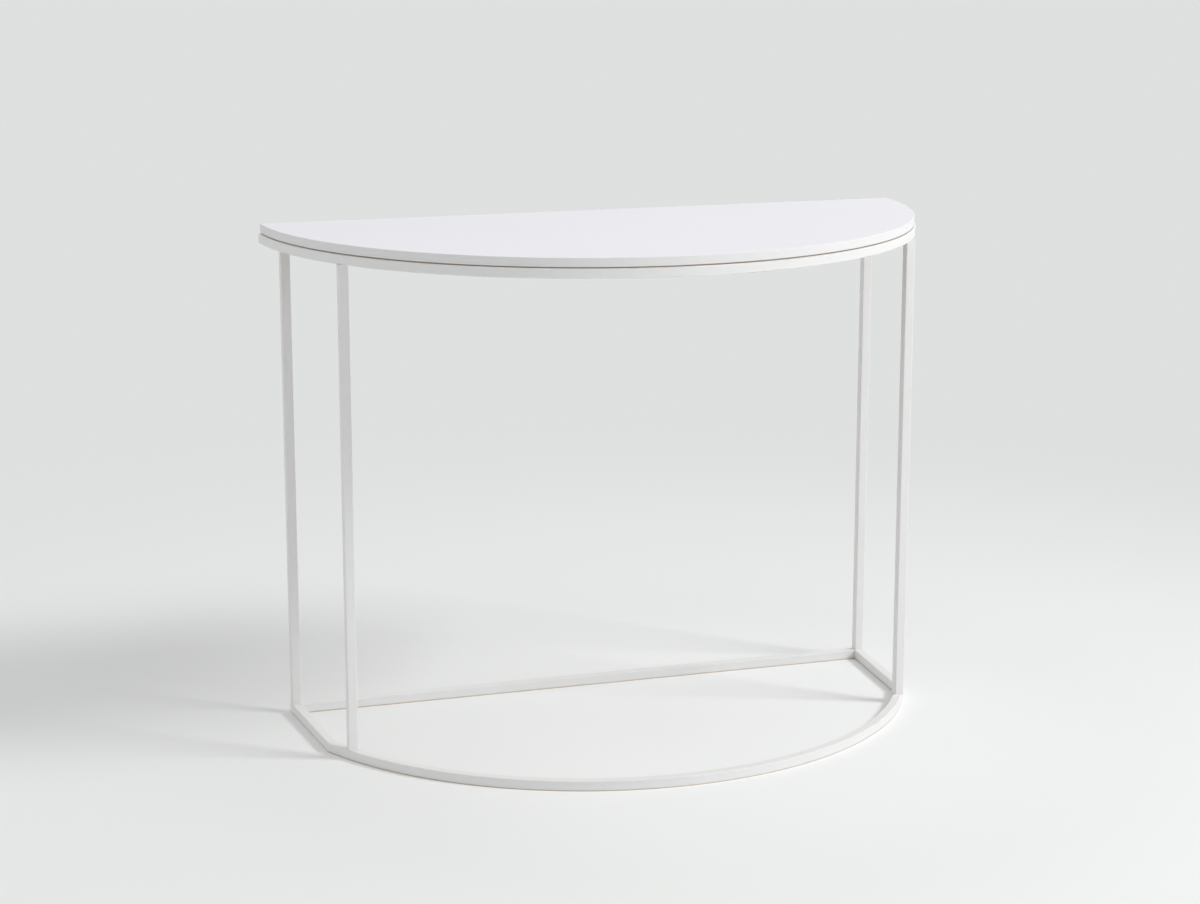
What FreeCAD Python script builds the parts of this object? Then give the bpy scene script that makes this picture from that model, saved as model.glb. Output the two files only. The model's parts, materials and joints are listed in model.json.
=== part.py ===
# Half-round console table: a lacquered half-moon top on a welded frame of slim square steel tube.
# The straight back edge faces +Y, the bowed front faces -Y, and the floor is at z = 0.
import FreeCAD, Part
import os
import Sketcher

# Driving sizes in millimetres. Names that end in angle are in degrees.
SIZES = [
    ("overall_width", 1000),
    ("overall_depth", 500),
    ("overall_height", 750),
    # Square tube of the whole frame.
    ("tube_size", 14),
    ("tube_wall", 1.2),
    ("tube_corner", 1.4),
    # The back legs are set in from the ends, and the front legs stand on the bow.
    ("back_leg_inset", 36),
    ("front_leg_angle", 60.5),
    ("corner_margin", 40),
    # Half-moon top, set in from the frame by a reveal and held off it by a shadow gap.
    ("top_thickness", 13),
    ("top_reveal", 2),
    ("top_corner_round", 2),
    ("top_edge_round", 0.8),
    ("shadow_gap", 1.5),
    # Brown strip in the shadow gap, set in from the outer faces of the frame.
    ("strip_inset", 4.5),
    ("strip_width", 7),
    # Tongues welded inside the upper ring to carry the top.
    ("tab_width", 30),
    ("tab_thickness", 3),
    ("tab_drop", 3),
    ("tab_hole_offset", 13),
    ("back_tab_spacing", 560),
    ("front_tab_angle", 16),
    ("side_tab_angle", 45),
    # Fixings of the top.
    ("spacer_diameter", 14),
    ("screw_diameter", 5),
    ("screw_short", 1),
    ("head_diameter", 9.5),
    ("head_height", 2.8),
    ("head_round", 1.6),
    ("socket_diameter", 3.4),
    ("socket_depth", 1.6),
    ("insert_diameter", 8),
    ("insert_cover", 3),
    ("insert_room", 1),
    ("hole_clearance", 0.5),
    ("fit_clearance", 0.1),
    # Glides under the lower ring.
    ("glide_diameter", 12),
    ("glide_height", 0.8),
    ("glide_edge", 0.2),
    # How far stock and cuts run past the shape that is kept.
    ("overrun", 5),
]

# Places and sizes worked out from the driving sizes, in the order in which they follow.
LAYOUT = [
    ("half_width", "Sizes.overall_width / 2"),
    ("half_tube", "Sizes.tube_size / 2"),
    ("tube_inside", "half_tube - Sizes.tube_wall"),
    # Stock runs past each mitre, and the mitre's cut reaches past the end of the stock.
    ("stock_past", "Sizes.tube_size + Sizes.overrun"),
    ("cut_reach", "stock_past + Sizes.tube_size"),
    ("back_y", "Sizes.overall_depth / 2"),
    # The bow is one arc through both back corners and the middle of the front.
    ("bow_radius", "(half_width^2 + Sizes.overall_depth^2) / (2 * Sizes.overall_depth)"),
    ("bow_behind", "bow_radius - Sizes.overall_depth"),
    ("bow_y", "back_y + bow_behind"),
    ("line_radius", "bow_radius - half_tube"),
    ("stock_past_angle", "stock_past / line_radius * 180 deg / pi"),
    ("inner_radius", "bow_radius - Sizes.tube_size"),
    ("cavity_outer", "bow_radius - Sizes.tube_wall"),
    ("cavity_inner", "inner_radius + Sizes.tube_wall"),
    ("rail_y", "back_y - half_tube"),
    # Levels above the floor.
    ("lower_line_z", "Sizes.glide_height + half_tube"),
    ("leg_z", "Sizes.glide_height + Sizes.tube_size"),
    ("top_z", "Sizes.overall_height - Sizes.top_thickness"),
    ("strip_z", "top_z - Sizes.shadow_gap"),
    ("upper_z", "strip_z - Sizes.tube_size"),
    ("upper_line_z", "upper_z + half_tube"),
    ("leg_length", "upper_z - leg_z"),
    ("spacer_z", "strip_z - Sizes.tab_drop"),
    ("spacer_height", "Sizes.tab_drop + Sizes.shadow_gap"),
    ("tab_z", "spacer_z - Sizes.tab_thickness"),
    # Upper ring: the bow and the back rail are mitred at the two back corners.
    ("corner_angle", "acos(bow_behind / bow_radius)"),
    ("upper_sweep_angle", "2 * (corner_angle + stock_past_angle)"),
    ("upper_inner_x", "sqrt(inner_radius^2 - (bow_behind + Sizes.tube_size)^2)"),
    ("upper_end_x", "(half_width + upper_inner_x) / 2"),
    ("upper_end_drop", "bow_behind + half_tube"),
    ("upper_half_angle", "atan((half_width - upper_inner_x) / Sizes.tube_size)"),
    ("upper_mitre_angle", "90 deg - upper_half_angle"),
    ("upper_cut_angle", "90 deg + upper_half_angle"),
    ("upper_run", "2 * upper_end_x"),
    # Lower ring: bow, two straight side rails and back rail, mitred at four corners.
    ("past_leg_angle", "(half_tube + Sizes.corner_margin) / line_radius * 180 deg / pi"),
    ("lower_end_angle", "Sizes.front_leg_angle * 1 deg + past_leg_angle"),
    ("lower_sweep_angle", "2 * (lower_end_angle + stock_past_angle)"),
    ("lower_end_x", "line_radius * sin(lower_end_angle)"),
    ("lower_end_y", "bow_y - line_radius * cos(lower_end_angle)"),
    ("lower_end_drop", "line_radius * cos(lower_end_angle)"),
    ("back_leg_x", "half_width - Sizes.back_leg_inset"),
    ("lower_run", "2 * back_leg_x"),
    ("side_run", "sqrt((back_leg_x - lower_end_x)^2 + (rail_y - lower_end_y)^2)"),
    ("lean_angle", "atan((back_leg_x - lower_end_x) / (rail_y - lower_end_y))"),
    ("back_cut_angle", "135 deg + lean_angle / 2"),
    ("front_cut_angle", "135 deg - lower_end_angle / 2 - lean_angle / 2"),
    ("lower_mitre_angle", "lower_end_angle / 2 - lean_angle / 2 - 45 deg"),
    ("right_heading_angle", "-90 deg - lean_angle"),
    ("left_heading_angle", "90 deg + lean_angle"),
    # Legs.
    ("front_leg_x", "line_radius * sin(Sizes.front_leg_angle)"),
    ("front_leg_y", "bow_y - line_radius * cos(Sizes.front_leg_angle)"),
    # Tongues and the screws through them.
    ("tab_half", "Sizes.tab_width / 2"),
    ("hole_radius", "Sizes.screw_diameter / 2 + Sizes.hole_clearance"),
    ("back_tab_x", "Sizes.back_tab_spacing / 2"),
    ("back_tab_y", "back_y - Sizes.tube_size"),
    ("screw_ring", "inner_radius - Sizes.tab_hole_offset"),
    ("back_screw_y", "back_tab_y - Sizes.tab_hole_offset"),
    ("front_screw_x", "screw_ring * sin(Sizes.front_tab_angle)"),
    ("front_screw_y", "bow_y - screw_ring * cos(Sizes.front_tab_angle)"),
    ("side_screw_x", "screw_ring * sin(Sizes.side_tab_angle)"),
    ("side_screw_y", "bow_y - screw_ring * cos(Sizes.side_tab_angle)"),
    ("tab_edge_drop", "sqrt(inner_radius^2 - tab_half^2)"),
    ("tab_tip_drop", "screw_ring - tab_half"),
    ("tab_tip", "Sizes.tab_hole_offset + tab_half"),
    ("front_tab_turn_angle", "Sizes.front_tab_angle * 1 deg"),
    ("side_tab_turn_angle", "Sizes.side_tab_angle * 1 deg"),
    ("spacer_radius", "Sizes.spacer_diameter / 2"),
    ("insert_depth", "Sizes.top_thickness - Sizes.insert_cover"),
    ("insert_length", "insert_depth - Sizes.insert_room"),
    ("shank_radius", "Sizes.screw_diameter / 2"),
    ("shank_length", "Sizes.tab_thickness + spacer_height + insert_length - Sizes.screw_short"),
    ("head_radius", "Sizes.head_diameter / 2"),
    ("crown_radius", "head_radius - Sizes.head_round"),
    ("crown_z", "Sizes.head_height - Sizes.head_round"),
    ("socket_radius", "Sizes.socket_diameter / 2"),
    ("socket_floor", "Sizes.head_height - Sizes.socket_depth"),
    ("insert_radius", "Sizes.insert_diameter / 2"),
    ("insert_bore", "shank_radius + Sizes.fit_clearance"),
    ("insert_hole", "insert_radius + Sizes.fit_clearance"),
    # Top: an arc on the bow's centre and a straight back edge.
    ("top_radius", "bow_radius - Sizes.top_reveal"),
    ("top_back", "bow_behind + Sizes.top_reveal"),
    ("top_corner_x", "sqrt(top_radius^2 - top_back^2)"),
    # Strip in the shadow gap: the same outline, further in.
    ("strip_radius", "bow_radius - Sizes.strip_inset"),
    ("strip_back", "bow_behind + Sizes.strip_inset"),
    ("strip_corner_x", "sqrt(strip_radius^2 - strip_back^2)"),
    ("strip_inner_radius", "strip_radius - Sizes.strip_width"),
    ("strip_inner_back", "strip_back + Sizes.strip_width"),
    ("strip_inner_x", "sqrt(strip_inner_radius^2 - strip_inner_back^2)"),
    # Glides.
    ("glide_radius", "Sizes.glide_diameter / 2"),
    ("glide_foot", "glide_radius - Sizes.glide_edge"),
    ("bow_middle_y", "bow_y - line_radius"),
]

TOLERANCE_SHARE = 1e-6

doc = FreeCAD.newDocument("half_round_console")
sheet = doc.addObject("Spreadsheet::Sheet", "Sizes")
layout = doc.addObject("App::VarSet", "Layout")
nodes = []


def fill_sizes():
    for row, (alias, amount) in enumerate(SIZES, start=1):
        sheet.set(f"A{row}", str(amount))
        sheet.setAlias(f"A{row}", alias)
    doc.recompute()
    for name, formula in LAYOUT:
        kind = "App::PropertyAngle" if name.endswith("angle") else "App::PropertyFloat"
        layout.addProperty(kind, name, "Layout")
        layout.setExpression(name, formula)
    doc.recompute()


def split_sign(term):
    """Sign and bare name of a term such as "-half_width"."""
    return (-1 if term.startswith("-") else 1), term.lstrip("-")


def value(term):
    """Number behind a term: zero, a layout name or a size name, with a minus sign if it has one."""
    if term == "0":
        return 0.0
    sign, name = split_sign(term)
    holder = layout if hasattr(layout, name) else sheet
    amount = getattr(holder, name)
    return sign * float(getattr(amount, "Value", amount))


def formula_of(term):
    sign, name = split_sign(term)
    holder = "Layout" if hasattr(layout, name) else "Sizes"
    return ("-" if sign < 0 else "") + f"{holder}.{name}"


def bind(target, path, term):
    if term != "0":
        target.setExpression(path, formula_of(term))


def new_body(name):
    body = doc.addObject("PartDesign::Body", name)
    body.Label = name
    return body


def origin_feature(body, role):
    return next(item for item in body.Origin.OriginFeatures if item.Role == role)


def new_sketch(body, name, role="XY_Plane"):
    sketch = body.newObject("Sketcher::SketchObject", f"{body.Name}_{name}")
    sketch.AttachmentSupport = [(origin_feature(body, role), "")]
    sketch.MapMode = "FlatFace"
    return sketch


def place(item, x="0", y="0", z="0", turn="0"):
    """Put a piece at named places, turned about the vertical by a named angle."""
    for path, term in (("Base.x", x), ("Base.y", y), ("Base.z", z), ("Rotation.Angle", turn)):
        bind(item, f"Placement.{path}", term)


def vector(x, y):
    return FreeCAD.Vector(value(x), value(y), 0)


def dimension(sketch, kind, *parts):
    """Add a dimension whose last part is the term that drives it."""
    *handles, term = parts
    index = sketch.addConstraint(Sketcher.Constraint(kind, *handles, value(term)))
    bind(sketch, f"Constraints[{index}]", term)


def pin_point(sketch, geometry, end, x, y):
    """Hold one point of a sketch at named places from the sketch's origin."""
    origin = (-1, 1)
    for kind, term, axis in (("DistanceX", x, -2), ("DistanceY", y, -1)):
        if term == "0":
            sketch.addConstraint(Sketcher.Constraint("PointOnObject", geometry, end, axis))
        else:
            dimension(sketch, kind, *origin, geometry, end, term)


def add_line(sketch, start, stop):
    return sketch.addGeometry(Part.LineSegment(start, stop), False)


def add_polygon(sketch, corners):
    """Closed outline through corners, each a pair of terms."""
    points = [vector(*corner) for corner in corners]
    lines = []
    for start, stop in zip(points, points[1:] + points[:1]):
        lines.append(add_line(sketch, start, stop))
    for line, following in zip(lines, lines[1:] + lines[:1]):
        sketch.addConstraint(Sketcher.Constraint("Coincident", line, 2, following, 1))
    for line, corner in zip(lines, corners):
        pin_point(sketch, line, 1, *corner)


def add_circle(sketch, x, y, radius):
    circle = sketch.addGeometry(Part.Circle(vector(x, y), FreeCAD.Vector(0, 0, 1), value(radius)), False)
    if (x, y) == ("0", "0"):
        sketch.addConstraint(Sketcher.Constraint("Coincident", circle, 3, -1, 1))
    else:
        pin_point(sketch, circle, 3, x, y)
    dimension(sketch, "Radius", circle, radius)


def add_arc(sketch, start, middle, stop):
    """Arc through three points, with the handles of its first and last points."""
    arc = sketch.addGeometry(Part.Arc(start, middle, stop), False)
    first, last = sorted((1, 2), key=lambda end: sketch.getPoint(arc, end).distanceToPoint(start))
    return arc, first, last


def join(sketch, *pairs):
    for first, first_end, second, second_end in pairs:
        sketch.addConstraint(Sketcher.Constraint("Coincident", first, first_end, second, second_end))


def pad(body, sketch, length, past=None):
    """Extrude a sketch by a named length, and past both ends of it if asked."""
    feature = body.newObject("PartDesign::Pad", f"{body.Name}_pad")
    feature.Profile = sketch
    bind(feature, "Length", length)
    if past is not None:
        feature.SideType = "Two sides"
        feature.setExpression("Length", f"{formula_of(length)} + {formula_of(past)}")
        bind(feature, "Length2", past)
    doc.recompute()
    return feature


def pocket(body, sketch, length=None):
    """Cut a sketch right through both ways, or upwards from its plane to a named depth."""
    before = body.Tip.Shape.Volume
    feature = body.newObject("PartDesign::Pocket", f"{sketch.Name}_cut")
    feature.Profile = sketch
    if length is None:
        feature.Type = "ThroughAll"
        feature.SideType = "Symmetric"
    else:
        feature.Reversed = True
        bind(feature, "Length", length)
    doc.recompute()
    if not feature.Shape.Volume < before * (1 - TOLERANCE_SHARE):
        raise ValueError(f"{feature.Name} cuts nothing")


def revolve(body, sketch, angle=None):
    """Turn a sketch about the vertical: right round, or evenly both ways by a named angle."""
    feature = body.newObject("PartDesign::Revolution", f"{body.Name}_turn")
    feature.Profile = sketch
    feature.ReferenceAxis = (origin_feature(body, "Z_Axis"), [""])
    feature.Angle = 360
    if angle is not None:
        feature.Midplane = True
        bind(feature, "Angle", angle)
    doc.recompute()
    return feature


def fillet(body, base, radius, wanted):
    """Round the edges of a feature that a test of the edge picks out."""
    names = [f"Edge{i}" for i, edge in enumerate(base.Shape.Edges, start=1) if wanted(edge)]
    feature = body.newObject("PartDesign::Fillet", f"{base.Name}_round")
    feature.Base = (base, names)
    bind(feature, "Radius", radius)
    doc.recompute()
    return feature


def near(first, second):
    return abs(first - second) < value("overall_width") * TOLERANCE_SHARE


def middle_of(edge):
    return edge.valueAt((edge.FirstParameter + edge.LastParameter) / 2)


def tube_section(sketch, outside, inside):
    """Square tube section: two rectangles, each given as low x, high x, low y and high y."""
    for low_x, high_x, low_y, high_y in (outside, inside):
        add_polygon(sketch, [(low_x, low_y), (high_x, low_y), (high_x, high_y), (low_x, high_y)])


def centred_section(sketch):
    outside = ("-half_tube", "half_tube", "-half_tube", "half_tube")
    inside = ("-tube_inside", "tube_inside", "-tube_inside", "tube_inside")
    tube_section(sketch, outside, inside)


def mitre(body, name, x, y, turn):
    """Cut a tube off square to the floor, past a line through (x, y) turned by a named angle."""
    sketch = new_sketch(body, name)
    bind(sketch, "AttachmentOffset.Base.x", x)
    bind(sketch, "AttachmentOffset.Base.y", y)
    bind(sketch, "AttachmentOffset.Rotation.Angle", turn)
    add_polygon(sketch, [
        ("-cut_reach", "0"),
        ("cut_reach", "0"),
        ("cut_reach", "cut_reach"),
        ("-cut_reach", "cut_reach"),
    ])
    pocket(body, sketch)


def bow_rail(name, sweep, end_x, end_drop, mitre_turn, z):
    """Square tube rolled to the bow's radius about the bow's centre, and mitred at both ends."""
    body = new_body(name)
    section = new_sketch(body, "section", "YZ_Plane")
    outside = ("-bow_radius", "-inner_radius", "-half_tube", "half_tube")
    inside = ("-cavity_outer", "-cavity_inner", "-tube_inside", "tube_inside")
    tube_section(section, outside, inside)
    rolled = revolve(body, section, sweep)

    def is_outer_corner(edge):
        point = middle_of(edge)
        radius = FreeCAD.Vector(point.x, point.y, 0).Length
        on_face = near(radius, value("bow_radius")) or near(radius, value("inner_radius"))
        return on_face and near(abs(point.z), value("half_tube"))

    fillet(body, rolled, "tube_corner", is_outer_corner)
    mitre(body, "right_mitre", end_x, f"-{end_drop}", mitre_turn)
    mitre(body, "left_mitre", f"-{end_x}", f"-{end_drop}", f"-{mitre_turn}")
    place(body, y="bow_y", z=z)
    nodes.append(body)


def straight_rail(name, run, start_cut, end_cut, x, y, z, turn="0"):
    """Straight square tube along its own X axis, mitred so that its +Y side is the longer."""
    body = new_body(name)
    section = new_sketch(body, "section", "YZ_Plane")
    centred_section(section)
    stock = pad(body, section, run, past="stock_past")

    def is_outer_corner(edge):
        point = middle_of(edge)
        return near(abs(point.y), value("half_tube")) and near(abs(point.z), value("half_tube"))

    fillet(body, stock, "tube_corner", is_outer_corner)
    mitre(body, "start_mitre", "0", "0", start_cut)
    mitre(body, "end_mitre", run, "0", f"-{end_cut}")
    place(body, x, y, z, turn)
    nodes.append(body)


def leg(name, x, y):
    """Upright square tube between the two rings, with its faces in line with the back rails."""
    body = new_body(name)
    section = new_sketch(body, "section")
    centred_section(section)
    stock = pad(body, section, "leg_length")

    def is_outer_corner(edge):
        point = middle_of(edge)
        return near(abs(point.x), value("half_tube")) and near(abs(point.y), value("half_tube"))

    fillet(body, stock, "tube_corner", is_outer_corner)
    place(body, x, y, "leg_z")
    nodes.append(body)


def half_moon(sketch, corner_x, back_drop, radius):
    """Closed outline of an arc about the bow's centre and the straight line between its ends."""
    left = vector(f"-{corner_x}", f"-{back_drop}")
    right = vector(corner_x, f"-{back_drop}")
    bow, bow_first, bow_last = add_arc(sketch, left, vector("0", f"-{radius}"), right)
    back = add_line(sketch, right, left)
    join(sketch, (bow, bow_last, back, 1), (back, 2, bow, bow_first), (bow, 3, -1, 1))
    sketch.addConstraint(Sketcher.Constraint("Horizontal", back))
    dimension(sketch, "Radius", bow, radius)
    dimension(sketch, "DistanceY", -1, 1, back, 1, f"-{back_drop}")


def tabletop():
    """Half-moon panel with eased edges and blind holes for the inserts in its underside."""
    body = new_body("tabletop")
    outline = new_sketch(body, "outline")
    half_moon(outline, "top_corner_x", "top_back", "top_radius")
    panel = pad(body, outline, "top_thickness")

    def is_upright(edge):
        return near(abs(edge.Vertexes[0].Z - edge.Vertexes[-1].Z), value("top_thickness"))

    def is_rim(edge):
        return near(middle_of(edge).z, 0) or near(middle_of(edge).z, value("top_thickness"))

    cornered = fillet(body, panel, "top_corner_round", is_upright)
    fillet(body, cornered, "top_edge_round", is_rim)
    holes = new_sketch(body, "insert_holes")
    bind(holes, "AttachmentOffset.Base.y", "-bow_y")
    for x, y in SCREW_PLACES.values():
        add_circle(holes, x, y, "insert_hole")
    pocket(body, holes, "insert_depth")
    place(body, y="bow_y", z="top_z")
    nodes.append(body)


def gap_strip():
    """Flat strip that lies on the upper ring and carries the rim of the top."""
    body = new_body("gap_strip")
    outline = new_sketch(body, "outline")
    half_moon(outline, "strip_corner_x", "strip_back", "strip_radius")
    half_moon(outline, "strip_inner_x", "strip_inner_back", "strip_inner_radius")
    pad(body, outline, "shadow_gap")
    place(body, y="bow_y", z="strip_z")
    nodes.append(body)


def tongue(sketch, seat_y, centre_y, tip_y):
    """Sides and half-round tip of a tongue, with its screw hole. The caller closes it at the seat."""
    right_end = vector("tab_half", centre_y)
    left_end = vector("-tab_half", centre_y)
    right = add_line(sketch, vector("tab_half", seat_y), right_end)
    left = add_line(sketch, vector("-tab_half", seat_y), left_end)
    nose, nose_first, nose_last = add_arc(sketch, right_end, vector("0", tip_y), left_end)
    join(sketch, (right, 2, nose, nose_first), (left, 2, nose, nose_last))
    for line in (right, left):
        sketch.addConstraint(Sketcher.Constraint("Vertical", line))
    for end in (nose_first, nose_last):
        sketch.addConstraint(Sketcher.Constraint("Horizontal", nose, 3, nose, end))
    pin_point(sketch, nose, 3, "0", centre_y)
    dimension(sketch, "Radius", nose, "tab_half")
    add_circle(sketch, "0", centre_y, "hole_radius")
    return left, right


def bow_tab(name, turn):
    """Tongue welded to the inside of the upper bow, drawn about the bow's centre."""
    body = new_body(name)
    outline = new_sketch(body, "outline")
    left, right = tongue(outline, "-tab_edge_drop", "-screw_ring", "-tab_tip_drop")
    left_end = vector("-tab_half", "-tab_edge_drop")
    right_end = vector("tab_half", "-tab_edge_drop")
    seat, seat_first, seat_last = add_arc(outline, left_end, vector("0", "-inner_radius"), right_end)
    join(outline, (left, 1, seat, seat_first), (right, 1, seat, seat_last), (seat, 3, -1, 1))
    dimension(outline, "Radius", seat, "inner_radius")
    pad(body, outline, "tab_thickness")
    place(body, y="bow_y", z="tab_z", turn=turn)
    nodes.append(body)


def back_tab(name, x):
    """Tongue welded to the front face of the upper back rail, drawn about the middle of its seat."""
    body = new_body(name)
    outline = new_sketch(body, "outline")
    left, right = tongue(outline, "0", "-tab_hole_offset", "-tab_tip")
    seat = add_line(outline, vector("-tab_half", "0"), vector("tab_half", "0"))
    join(outline, (left, 1, seat, 1), (right, 1, seat, 2))
    outline.addConstraint(Sketcher.Constraint("PointOnObject", seat, 1, -1))
    outline.addConstraint(Sketcher.Constraint("Horizontal", seat))
    pad(body, outline, "tab_thickness")
    place(body, x=x, y="back_tab_y", z="tab_z")
    nodes.append(body)


def ring(name, outer, bore, height, x, y, z):
    """Plain ring, as a spacer or an insert is."""
    body = new_body(name)
    outline = new_sketch(body, "outline")
    add_circle(outline, "0", "0", outer)
    add_circle(outline, "0", "0", bore)
    pad(body, outline, height)
    place(body, x, y, z)
    return body


def screw(name, x, y):
    """Button-head screw with its head under the tongue and its shank up in the insert."""
    body = new_body(name)
    profile = new_sketch(body, "profile", "XZ_Plane")
    add_polygon(profile, [
        ("0", "shank_length"),
        ("0", "-socket_floor"),
        ("socket_radius", "-socket_floor"),
        ("socket_radius", "-head_height"),
        ("crown_radius", "-head_height"),
        ("head_radius", "-crown_z"),
        ("head_radius", "0"),
        ("shank_radius", "0"),
        ("shank_radius", "shank_length"),
    ])
    revolve(body, profile)
    place(body, x, y, "tab_z")
    return body


def glide(name, x, y):
    """Floor glide with a bevelled rim."""
    body = new_body(name)
    profile = new_sketch(body, "profile", "XZ_Plane")
    add_polygon(profile, [
        ("0", "0"),
        ("glide_foot", "0"),
        ("glide_radius", "glide_edge"),
        ("glide_radius", "glide_height"),
        ("0", "glide_height"),
    ])
    revolve(body, profile)
    place(body, x, y)
    nodes.append(body)


def group(name, pieces):
    """One node that holds identical small pieces as separate solids."""
    compound = doc.addObject("Part::Compound", name)
    compound.Label = name
    compound.Links = pieces
    nodes.append(compound)


# Where the top is screwed down, seen from the front.
SCREW_PLACES = {
    "front_left": ("-front_screw_x", "front_screw_y"),
    "front_right": ("front_screw_x", "front_screw_y"),
    "side_left": ("-side_screw_x", "side_screw_y"),
    "side_right": ("side_screw_x", "side_screw_y"),
    "back_left": ("-back_tab_x", "back_screw_y"),
    "back_right": ("back_tab_x", "back_screw_y"),
}

GLIDE_PLACES = {
    "back_left": ("-back_leg_x", "rail_y"),
    "back_right": ("back_leg_x", "rail_y"),
    "front_left": ("-front_leg_x", "front_leg_y"),
    "front_right": ("front_leg_x", "front_leg_y"),
    "bow_middle": ("0", "bow_middle_y"),
    "back_middle": ("0", "rail_y"),
}


def build():
    fill_sizes()
    tabletop()
    gap_strip()

    bow_rail("upper_bow_rail", "upper_sweep_angle", "upper_end_x", "upper_end_drop",
             "upper_mitre_angle", "upper_line_z")
    straight_rail("upper_back_rail", "upper_run", "upper_cut_angle", "upper_cut_angle",
                  "-upper_end_x", "rail_y", "upper_line_z")

    leg("leg_back_left", "-back_leg_x", "rail_y")
    leg("leg_back_right", "back_leg_x", "rail_y")
    leg("leg_front_left", "-front_leg_x", "front_leg_y")
    leg("leg_front_right", "front_leg_x", "front_leg_y")

    bow_rail("lower_bow_rail", "lower_sweep_angle", "lower_end_x", "lower_end_drop",
             "lower_mitre_angle", "lower_line_z")
    straight_rail("lower_back_rail", "lower_run", "back_cut_angle", "back_cut_angle",
                  "-back_leg_x", "rail_y", "lower_line_z")
    straight_rail("lower_side_rail_right", "side_run", "back_cut_angle", "front_cut_angle",
                  "back_leg_x", "rail_y", "lower_line_z", "right_heading_angle")
    straight_rail("lower_side_rail_left", "side_run", "front_cut_angle", "back_cut_angle",
                  "-lower_end_x", "lower_end_y", "lower_line_z", "left_heading_angle")

    bow_tab("top_tab_front_left", "-front_tab_turn_angle")
    bow_tab("top_tab_front_right", "front_tab_turn_angle")
    bow_tab("top_tab_side_left", "-side_tab_turn_angle")
    bow_tab("top_tab_side_right", "side_tab_turn_angle")
    back_tab("top_tab_back_left", "-back_tab_x")
    back_tab("top_tab_back_right", "back_tab_x")

    screws = []
    inserts = []
    for spot, (x, y) in SCREW_PLACES.items():
        nodes.append(ring(f"top_spacer_{spot}", "spacer_radius", "hole_radius", "spacer_height",
                          x, y, "spacer_z"))
        screws.append(screw(f"screw_{spot}", x, y))
        inserts.append(ring(f"insert_{spot}", "insert_radius", "insert_bore", "insert_length",
                            x, y, "top_z"))
    group("top_screws", screws)
    group("threaded_inserts", inserts)

    for spot, (x, y) in GLIDE_PLACES.items():
        glide(f"glide_{spot}", x, y)
    doc.recompute()


def check():
    """Stop before anything is written if a feature failed or a piece has no sound shape."""
    failed = [item.Label for item in doc.Objects if {"Invalid", "Error"} & set(item.State)]
    unsound = [item.Label for item in nodes if item.Shape.isNull() or not item.Shape.isValid()]
    if failed or unsound:
        raise ValueError(f"failed features: {failed}, unsound shapes: {unsound}")


def write():
    os.makedirs("parts", exist_ok=True)
    for item in nodes:
        item.Shape.exportStep(os.path.join("parts", f"{item.Label}.step"))


build()
check()
write()
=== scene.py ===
"""A half-round console table: white lacquered top on a white coated square-tube frame."""
import json
import math

import bmesh
import bpy
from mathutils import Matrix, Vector


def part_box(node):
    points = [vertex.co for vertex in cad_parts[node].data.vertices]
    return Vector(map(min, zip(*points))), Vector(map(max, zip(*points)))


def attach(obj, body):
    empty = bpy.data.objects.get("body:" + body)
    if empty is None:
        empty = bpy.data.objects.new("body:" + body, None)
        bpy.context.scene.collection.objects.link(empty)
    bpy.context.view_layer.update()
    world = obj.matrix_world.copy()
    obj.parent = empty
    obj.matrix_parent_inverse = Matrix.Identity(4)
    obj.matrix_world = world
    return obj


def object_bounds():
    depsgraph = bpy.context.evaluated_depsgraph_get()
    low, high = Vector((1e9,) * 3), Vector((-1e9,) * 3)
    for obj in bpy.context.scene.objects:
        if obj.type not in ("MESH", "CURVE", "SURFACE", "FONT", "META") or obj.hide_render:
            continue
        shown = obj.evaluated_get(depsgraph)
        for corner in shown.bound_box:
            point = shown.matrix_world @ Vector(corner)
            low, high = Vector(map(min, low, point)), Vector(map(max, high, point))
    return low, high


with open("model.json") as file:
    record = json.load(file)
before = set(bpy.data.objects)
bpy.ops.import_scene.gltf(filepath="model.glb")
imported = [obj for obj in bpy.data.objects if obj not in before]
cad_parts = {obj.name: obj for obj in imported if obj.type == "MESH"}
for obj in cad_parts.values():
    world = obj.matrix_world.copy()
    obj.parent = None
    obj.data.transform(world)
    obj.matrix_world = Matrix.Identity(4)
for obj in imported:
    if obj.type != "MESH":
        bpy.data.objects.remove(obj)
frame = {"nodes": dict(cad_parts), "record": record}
CAD_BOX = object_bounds()

# View: metres and degrees in the table's own frame
CAMERA_PLACE = (-1.1990, -3.5214, 1.2584)
CAMERA_PITCH = 12.606
CAMERA_YAW = 17.983
CAMERA_LENS = 78.5
SENSOR_WIDTH = 36.0

# Lights: a key to the right and a little in front, a far low fill to the left, and a weak low light
# in front. Degrees, metres and watts; azimuth 0 is straight in front and 90 to the right.
LIGHTS = {
    "key": {"azimuth": 59.0, "elevation": 38.0, "distance": 8.0,
            "width": 2.3, "height": 1.8, "power": 316.0},
    "fill": {"azimuth": -110.0, "elevation": 8.0, "distance": 15.0,
             "width": 6.0, "height": 4.0, "power": 208.0},
    "front": {"azimuth": 30.0, "elevation": 9.0, "distance": 6.0,
              "width": 2.0, "height": 1.2, "power": 21.0},
}
SKY_LOW = 0.0
SKY_HIGH = 1.03

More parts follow.
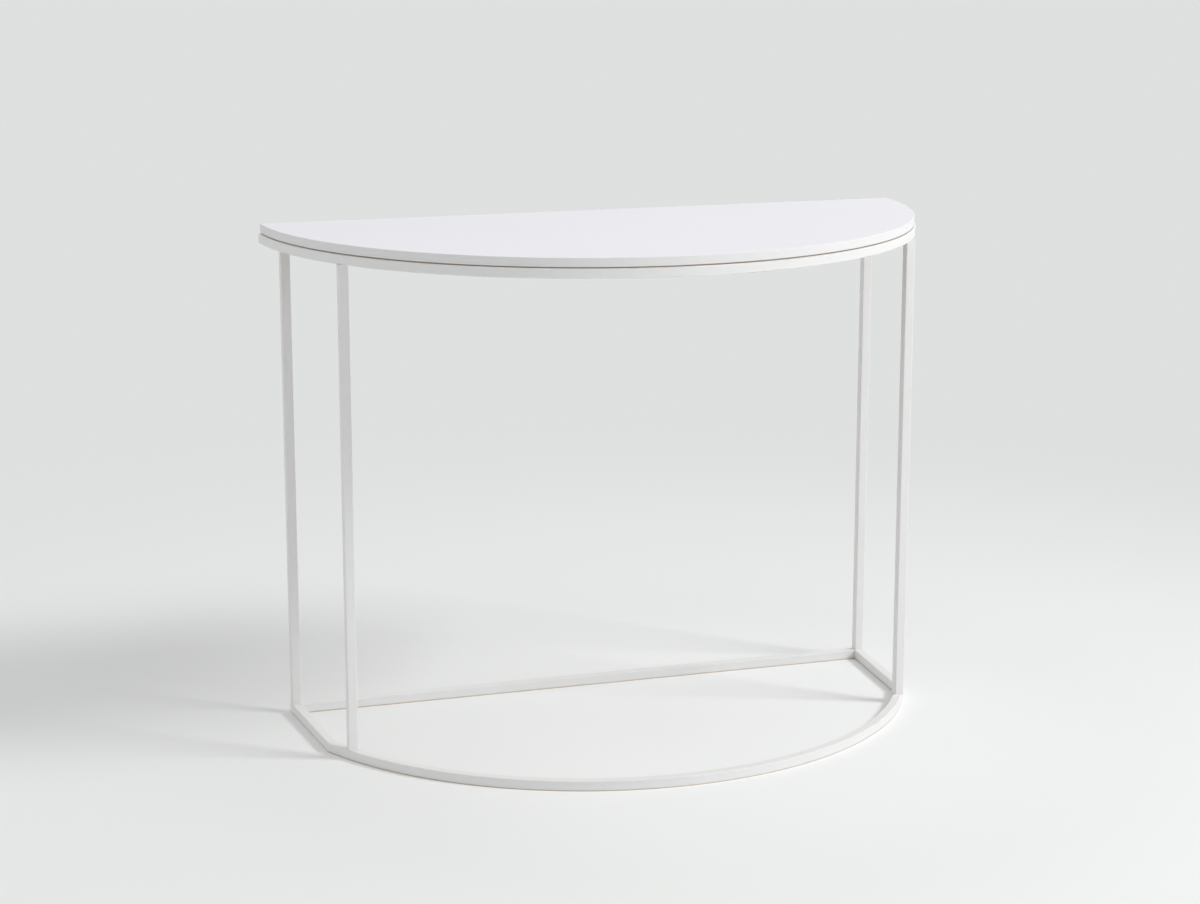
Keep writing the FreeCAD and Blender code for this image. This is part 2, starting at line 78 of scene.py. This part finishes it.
# Finishes: dark and light ends of each colour, lowest and highest roughness, features of each
# noise to the metre, and depth of relief in metres. The tilts are the upright part of the normal
# where the top's edge band stops and where its face or backer starts.
# Painted sky tint: the top's face colours are bluer and a little lighter than the edge band, as if
# lit from above by a bluish sky.
SKY_TINTED_TOP_COLOURS = ((0.832, 0.824, 0.86), (0.852, 0.844, 0.88))
EDGE_COLOURS = ((0.82, 0.817, 0.816), (0.842, 0.839, 0.838))
BACKER_COLOURS = ((0.20, 0.135, 0.085), (0.34, 0.24, 0.16))
EDGE_TILT = 0.5
FACE_TILT = 0.9
TOP_ROUGHNESS = (0.70, 0.80)
TOP_SPECULAR = 0.2
TOP_CLOUDS = 5.0
TOP_HANDLING = 14.0
TOP_PEEL = 420.0
TOP_RELIEF = 0.00003
BACKER_FIBRES = 160.0
COAT_COLOURS = ((0.835, 0.832, 0.831), (0.857, 0.854, 0.853))
COAT_ROUGHNESS = (0.44, 0.56)
COAT_SPECULAR = 0.35
COAT_CLOUDS = 9.0
COAT_SHEEN = 35.0
COAT_PEBBLES = 750.0
COAT_RELIEF = 0.00004
STRIP_COLOURS = ((0.65, 0.485, 0.35), (0.78, 0.62, 0.485))
STRIP_ROUGHNESS = (0.72, 0.88)
STRIP_SPECULAR = 0.3
STRIP_GRAIN = 700.0
STRIP_RELIEF = 0.00012
BLOOM_COLOUR = (0.80, 0.70, 0.60)
BLOOM_SHARE = 0.25
BLOOM_PATCHES = 60.0
SPACER_COLOURS = ((0.095, 0.07, 0.052), (0.14, 0.105, 0.08))
SPACER_GRAIN = 1400.0
GLIDE_COLOURS = ((0.24, 0.18, 0.135), (0.34, 0.265, 0.205))
GLIDE_GRAIN = 1100.0
PLASTIC_ROUGHNESS = (0.58, 0.75)
PLASTIC_MOTTLE = 220.0
PLASTIC_RELIEF = 0.00005
ZINC_COLOURS = ((0.56, 0.56, 0.57), (0.68, 0.68, 0.68))
ZINC_ROUGHNESS = (0.24, 0.36)
BRASS_COLOURS = ((0.66, 0.50, 0.24), (0.78, 0.61, 0.32))
BRASS_ROUGHNESS = (0.22, 0.34)
METAL_PATCHES = 320.0
METAL_MARKS = 2600.0
METAL_RELIEF = 0.00001

# Colour sockets of Blender's Mix node, which share their names with its other sockets
MIX_FIRST = 6
MIX_SECOND = 7
MIX_RESULT = 2

# Brown strip under the lower ring: metres, and degrees from the middle of the bow
BOW_END_ANGLE = 65.96
BOW_STEPS = 132
HOLE_STEPS = 48
STRIP_INSET = 0.0004
STRIP_PLAY = 0.0001

# Stage: pale paper with a painted pool of light, brightest under the table, that fades into the
# background
FLOOR_RADIUS = 45.0
FLOOR_SIDES = 96
PAINTED_POOL_PAPER = (0.93, 0.95, 0.948)
PAPER_OUTSIDE_POOL = (0.83, 0.846, 0.84)
PAINTED_POOL_MIDDLE = (0.1, 0.0, 0.0)
POOL_FADE_START = 0.15
POOL_FADE_END = 0.7
HAZE_COLOUR = (0.735, 0.75, 0.742)
HAZE_MIDDLE = (-0.4, -0.3, 0.0)
HAZE_START = 0.95
HAZE_END = 2.7


def node(tree, kind, **settings):
    """A shader node. Settings are inputs, with underscores for spaces, or else properties."""
    made = tree.nodes.new(kind)
    for name, value in settings.items():
        socket = made.inputs.get(name.replace("_", " "))
        if socket is not None:
            socket.default_value = value
        else:
            setattr(made, name, value)
    return made


def new_material(name):
    """A material with one Principled shader, and the coordinates of the table's frame in metres."""
    material = bpy.data.materials.new(name)
    material.use_nodes = True
    tree = material.node_tree
    place = node(tree, "ShaderNodeTexCoord")
    return material, tree, tree.nodes["Principled BSDF"], place


def noise(tree, place, scale, detail, roughness=0.5):
    """Noise with about scale features to the metre."""
    made = node(tree, "ShaderNodeTexNoise", Scale=scale, Detail=detail, Roughness=roughness)
    tree.links.new(place.outputs["Object"], made.inputs["Vector"])
    return made.outputs["Fac"]


def spread(tree, source, low, high, start=0.3, end=0.7, curve="LINEAR"):
    """The source's range from start to end, spread between low and high."""
    made = node(tree, "ShaderNodeMapRange", interpolation_type=curve)
    made.inputs["From Min"].default_value = start
    made.inputs["From Max"].default_value = end
    made.inputs["To Min"].default_value = low
    made.inputs["To Max"].default_value = high
    tree.links.new(source, made.inputs["Value"])
    return made.outputs["Result"]


def blend_colours(tree, factor, first, second):
    """A colour between first and second, each a colour or another node's output."""
    made = node(tree, "ShaderNodeMix", data_type="RGBA")
    tree.links.new(factor, made.inputs["Factor"])
    for index, colour in ((MIX_FIRST, first), (MIX_SECOND, second)):
        if isinstance(colour, tuple):
            made.inputs[index].default_value = (*colour, 1.0)
        else:
            tree.links.new(colour, made.inputs[index])
    return made.outputs[MIX_RESULT]


def add_bump(tree, shader, height, depth):
    """Relief of that depth in metres."""
    made = node(tree, "ShaderNodeBump", Strength=1.0, Distance=depth)
    tree.links.new(height, made.inputs["Height"])
    tree.links.new(made.outputs["Normal"], shader.inputs["Normal"])


def lacquer():
    """Matt lacquer on board: faint orange peel, a neutral edge band, a brown backer below, and a
    painted sky tint that makes the upward face bluer and a little lighter.
    """
    material, tree, shader, place = new_material("top_lacquer")
    cloud = noise(tree, place, TOP_CLOUDS, detail=3.0)
    face = blend_colours(tree, cloud, *SKY_TINTED_TOP_COLOURS)
    band = blend_colours(tree, cloud, *EDGE_COLOURS)
    axes = node(tree, "ShaderNodeSeparateXYZ")
    tree.links.new(place.outputs["Normal"], axes.inputs["Vector"])
    # Painted sky tint: faces that point up take the bluer, lighter face colour, while the edge band
    # stays neutral.
    sky_tint_mask = spread(tree, axes.outputs["Z"], 0.0, 1.0, start=EDGE_TILT, end=FACE_TILT)
    white = blend_colours(tree, sky_tint_mask, band, face)
    downwards = spread(tree, axes.outputs["Z"], 1.0, 0.0, start=-FACE_TILT, end=-EDGE_TILT)
    fibre = noise(tree, place, BACKER_FIBRES, detail=5.0, roughness=0.65)
    backer = blend_colours(tree, fibre, *BACKER_COLOURS)
    tree.links.new(blend_colours(tree, downwards, white, backer), shader.inputs["Base Color"])
    handling = noise(tree, place, TOP_HANDLING, detail=4.0, roughness=0.6)
    tree.links.new(spread(tree, handling, *TOP_ROUGHNESS), shader.inputs["Roughness"])
    shader.inputs["Specular IOR Level"].default_value = TOP_SPECULAR
    add_bump(tree, shader, noise(tree, place, TOP_PEEL, detail=1.5), TOP_RELIEF)
    return material


def powder_coat():
    """Satin powder coat on steel tube: fine pebbled texture, slightly uneven gloss."""
    material, tree, shader, place = new_material("frame_coat")
    cloud = noise(tree, place, COAT_CLOUDS, detail=3.0)
    tree.links.new(blend_colours(tree, cloud, *COAT_COLOURS), shader.inputs["Base Color"])
    sheen = noise(tree, place, COAT_SHEEN, detail=3.0, roughness=0.6)
    tree.links.new(spread(tree, sheen, *COAT_ROUGHNESS), shader.inputs["Roughness"])
    shader.inputs["Specular IOR Level"].default_value = COAT_SPECULAR
    add_bump(tree, shader, noise(tree, place, COAT_PEBBLES, detail=2.0), COAT_RELIEF)
    return material


def strip_rubber():
    """Matt brown rubber tape: fine ground grain, a little bloom."""
    material, tree, shader, place = new_material("strip_rubber")
    grain = noise(tree, place, STRIP_GRAIN, detail=5.0, roughness=0.7)
    brown = blend_colours(tree, grain, *STRIP_COLOURS)
    bloom = spread(tree, noise(tree, place, BLOOM_PATCHES, detail=3.0), 0.0, BLOOM_SHARE)
    tree.links.new(blend_colours(tree, bloom, brown, BLOOM_COLOUR), shader.inputs["Base Color"])
    tree.links.new(spread(tree, grain, *STRIP_ROUGHNESS), shader.inputs["Roughness"])
    shader.inputs["Specular IOR Level"].default_value = STRIP_SPECULAR
    add_bump(tree, shader, grain, STRIP_RELIEF)
    return material


def moulded_plastic(name, colours, grain):
    """Matt moulded plastic with a fine spark-eroded grain."""
    material, tree, shader, place = new_material(name)
    mottle = noise(tree, place, PLASTIC_MOTTLE, detail=4.0, roughness=0.6)
    tree.links.new(blend_colours(tree, mottle, *colours), shader.inputs["Base Color"])
    tree.links.new(spread(tree, mottle, *PLASTIC_ROUGHNESS), shader.inputs["Roughness"])
    add_bump(tree, shader, noise(tree, place, grain, detail=3.0), PLASTIC_RELIEF)
    return material


def plated_metal(name, colours, roughness):
    """Turned and plated metal: fine tool marks, patchy plating."""
    material, tree, shader, place = new_material(name)
    shader.inputs["Metallic"].default_value = 1.0
    patch = noise(tree, place, METAL_PATCHES, detail=4.0, roughness=0.6)
    tree.links.new(blend_colours(tree, patch, *colours), shader.inputs["Base Color"])
    tree.links.new(spread(tree, patch, *roughness), shader.inputs["Roughness"])
    add_bump(tree, shader, noise(tree, place, METAL_MARKS, detail=2.0), METAL_RELIEF)
    return material


def dress(materials):
    """Each CAD node takes the material of its slot in the record."""
    slots = {part["node"]: part["material_slot"] for part in frame["record"]["subparts"]}
    for name, piece in frame["nodes"].items():
        for place in piece.material_slots:
            place.material = materials[slots[name]]


def middle_of(name):
    """Middle of a CAD node in plan."""
    low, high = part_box(name)
    return ((low + high) / 2).xy


def ring_line(half_tube):
    """Middle line of the lower ring in plan, anticlockwise from the left end of the bow."""
    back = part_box("lower_back_rail")[1].y
    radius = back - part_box("lower_bow_rail")[0].y - half_tube
    bow = []
    for step in range(BOW_STEPS + 1):
        turn = math.radians(BOW_END_ANGLE) * (2 * step / BOW_STEPS - 1)
        bow.append(Vector((radius * math.sin(turn), back - radius * math.cos(turn))))
    return bow + [middle_of("glide_back_right"), middle_of("glide_back_left")]


def offset(line, distance):
    """A closed line moved outwards by that distance, with mitred corners."""
    moved = []
    for before, here, after in zip(line[-1:] + line[:-1], line, line[1:] + line[:1]):
        came, goes = (here - before).normalized(), (after - here).normalized()
        first, second = Vector((came.y, -came.x)), Vector((goes.y, -goes.x))
        moved.append(here + (first + second) * distance / (1 + first.dot(second)))
    return moved


def circle(middle, radius):
    """A round line in plan."""
    turns = [2 * math.pi * step / HOLE_STEPS for step in range(HOLE_STEPS)]
    return [middle + Vector((math.cos(turn), math.sin(turn))) * radius for turn in turns]


def strip_outlines(half_tube):
    """Outer and inner edge of the floor strip in plan, and a hole round each glide."""
    line = ring_line(half_tube)
    outlines = [offset(line, half_tube - STRIP_INSET), offset(line, STRIP_INSET - half_tube)]
    for name in frame["nodes"]:
        if name.startswith("glide_"):
            low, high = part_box(name)
            outlines.append(circle(middle_of(name), (high.x - low.x) / 2 + STRIP_PLAY))
    return outlines


def in_order(shape):
    """Corners and faces of a shape, in an order that is the same each run."""
    corners = sorted(tuple(corner.co) for corner in shape.verts)
    places = {corner: place for place, corner in enumerate(corners)}
    faces = []
    for face in shape.faces:
        around = [places[tuple(corner.co)] for corner in face.verts]
        first = around.index(min(around))
        faces.append(around[first:] + around[:first])
    return corners, sorted(faces)


def slab(name, outlines, height):
    """A flat piece of that height on the floor, between the outlines."""
    shape = bmesh.new()
    edges = []
    for outline in outlines:
        points = [shape.verts.new((*point, 0.0)) for point in outline]
        edges += [shape.edges.new(pair) for pair in zip(points, points[1:] + points[:1])]
    bmesh.ops.triangle_fill(shape, edges=edges, use_beauty=True)
    raised = bmesh.ops.extrude_face_region(shape, geom=shape.faces[:], use_keep_orig=True)["geom"]
    upper = [item for item in raised if isinstance(item, bmesh.types.BMVert)]
    bmesh.ops.translate(shape, vec=(0.0, 0.0, height), verts=upper)
    bmesh.ops.recalc_face_normals(shape, faces=shape.faces[:])
    corners, faces = in_order(shape)
    shape.free()
    mesh = bpy.data.meshes.new(name)
    mesh.from_pydata(corners, [], faces)
    return mesh


def add_floor_strip(material):
    """Brown strip between the lower ring and the floor."""
    low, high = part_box("lower_back_rail")
    mesh = slab("floor_strip", strip_outlines((high.y - low.y) / 2), low.z)
    mesh.materials.append(material)
    strip = bpy.data.objects.new("floor_strip", mesh)
    bpy.context.collection.objects.link(strip)
    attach(strip, "root")


def towards(azimuth, elevation):
    """Unit vector from the table to a place at that azimuth and elevation."""
    turn, rise = math.radians(azimuth), math.radians(elevation)
    level = math.cos(rise)
    return Vector((math.sin(turn) * level, -math.cos(turn) * level, math.sin(rise)))


def soft_light(name, azimuth, elevation, distance, width, height, power):
    """An upright soft box that faces the middle of the table."""
    lamp = bpy.data.lights.new(name, "AREA")
    lamp.shape = "RECTANGLE"
    lamp.size = width
    lamp.size_y = height
    lamp.energy = power
    holder = bpy.data.objects.new(name, lamp)
    direction = towards(azimuth, elevation)
    middle = (CAD_BOX[0] + CAD_BOX[1]) / 2
    holder.location = middle + direction * distance
    holder.rotation_euler = direction.to_track_quat("Z", "Y").to_euler()
    bpy.context.collection.objects.link(holder)


def seen_rays(tree):
    """1 for rays that show a surface to the camera, straight, mirrored or through glass."""
    path = node(tree, "ShaderNodeLightPath")
    total = path.outputs["Is Camera Ray"]
    for name in ("Is Glossy Ray", "Is Transmission Ray"):
        added = node(tree, "ShaderNodeMath", operation="MAXIMUM")
        tree.links.new(total, added.inputs[0])
        tree.links.new(path.outputs[name], added.inputs[1])
        total = added.outputs[0]
    return total


def rise_from(tree, middle, start, end):
    """A smooth rise from 0 at the start distance to 1 at the end distance from a point."""
    place = node(tree, "ShaderNodeTexCoord")
    reach = node(tree, "ShaderNodeVectorMath", operation="DISTANCE")
    reach.inputs[1].default_value = middle
    tree.links.new(place.outputs["Object"], reach.inputs[0])
    return spread(tree, reach.outputs["Value"], 0.0, 1.0, start, end, "SMOOTHSTEP")


def floor_material():
    """Pale seamless paper with a painted pool of light under the table, that fades into the
    background away from the table.
    """
    material = bpy.data.materials.new("floor")
    material.use_nodes = True
    tree = material.node_tree
    tree.nodes.clear()
    # Painted pool of light: the paper is lighter near the middle under the table and dims outwards.
    pool_fade = rise_from(tree, PAINTED_POOL_MIDDLE, POOL_FADE_START, POOL_FADE_END)
    paper = node(tree, "ShaderNodeBsdfDiffuse")
    tree.links.new(blend_colours(tree, pool_fade, PAINTED_POOL_PAPER, PAPER_OUTSIDE_POOL), paper.inputs["Color"])
    haze = node(tree, "ShaderNodeEmission", Color=(*HAZE_COLOUR, 1.0))
    seen_fade = node(tree, "ShaderNodeMath", operation="MULTIPLY")
    tree.links.new(rise_from(tree, HAZE_MIDDLE, HAZE_START, HAZE_END), seen_fade.inputs[0])
    tree.links.new(seen_rays(tree), seen_fade.inputs[1])
    both = node(tree, "ShaderNodeMixShader")
    tree.links.new(seen_fade.outputs[0], both.inputs[0])
    tree.links.new(paper.outputs[0], both.inputs[1])
    tree.links.new(haze.outputs[0], both.inputs[2])
    output = node(tree, "ShaderNodeOutputMaterial")
    tree.links.new(both.outputs[0], output.inputs["Surface"])
    return material


def add_floor():
    """A wide round floor under the table."""
    corners = []
    for step in range(FLOOR_SIDES):
        turn = 2 * math.pi * step / FLOOR_SIDES
        corners.append((FLOOR_RADIUS * math.cos(turn), FLOOR_RADIUS * math.sin(turn), 0.0))
    mesh = bpy.data.meshes.new("floor")
    mesh.from_pydata(corners, [], [list(range(FLOOR_SIDES))])
    mesh.materials.append(floor_material())
    floor = bpy.data.objects.new("floor", mesh)
    bpy.context.collection.objects.link(floor)


def add_sky():
    """A soft fill, stronger from above, seen as the same pale tone as the far floor."""
    world = bpy.data.worlds.new("studio")
    world.use_nodes = True
    tree = world.node_tree
    tree.nodes.clear()
    direction = node(tree, "ShaderNodeTexCoord")
    axes = node(tree, "ShaderNodeSeparateXYZ")
    tree.links.new(direction.outputs["Generated"], axes.inputs["Vector"])
    strength = spread(tree, axes.outputs["Z"], SKY_LOW, SKY_HIGH, 0.0, 1.0)
    fill = node(tree, "ShaderNodeBackground", Color=(1.0, 1.0, 1.0, 1.0))
    tree.links.new(strength, fill.inputs["Strength"])
    seen = node(tree, "ShaderNodeBackground", Color=(*HAZE_COLOUR, 1.0), Strength=1.0)
    both = node(tree, "ShaderNodeMixShader")
    tree.links.new(seen_rays(tree), both.inputs[0])
    tree.links.new(fill.outputs[0], both.inputs[1])
    tree.links.new(seen.outputs[0], both.inputs[2])
    output = node(tree, "ShaderNodeOutputWorld")
    tree.links.new(both.outputs[0], output.inputs["Surface"])
    bpy.context.scene.world = world


def add_camera():
    """The photograph's viewpoint."""
    lens = bpy.data.cameras.new("camera")
    lens.lens = CAMERA_LENS
    lens.sensor_width = SENSOR_WIDTH
    camera = bpy.data.objects.new("camera", lens)
    camera.location = CAMERA_PLACE
    camera.rotation_euler = (math.radians(90.0 - CAMERA_PITCH), 0.0, math.radians(-CAMERA_YAW))
    bpy.context.collection.objects.link(camera)
    bpy.context.scene.camera = camera


finishes = {
    "top_lacquer": lacquer(),
    "frame_coat": powder_coat(),
    "strip_rubber": strip_rubber(),
    "spacer": moulded_plastic("spacer", SPACER_COLOURS, SPACER_GRAIN),
    "glide": moulded_plastic("glide", GLIDE_COLOURS, GLIDE_GRAIN),
    "screw_steel": plated_metal("screw_steel", ZINC_COLOURS, ZINC_ROUGHNESS),
    "insert_brass": plated_metal("insert_brass", BRASS_COLOURS, BRASS_ROUGHNESS),
}
dress(finishes)
add_floor_strip(finishes["strip_rubber"])
add_floor()
add_sky()
for light_name, settings in LIGHTS.items():
    soft_light(light_name, **settings)
add_camera()
bpy.context.scene.view_settings.view_transform = "Standard"
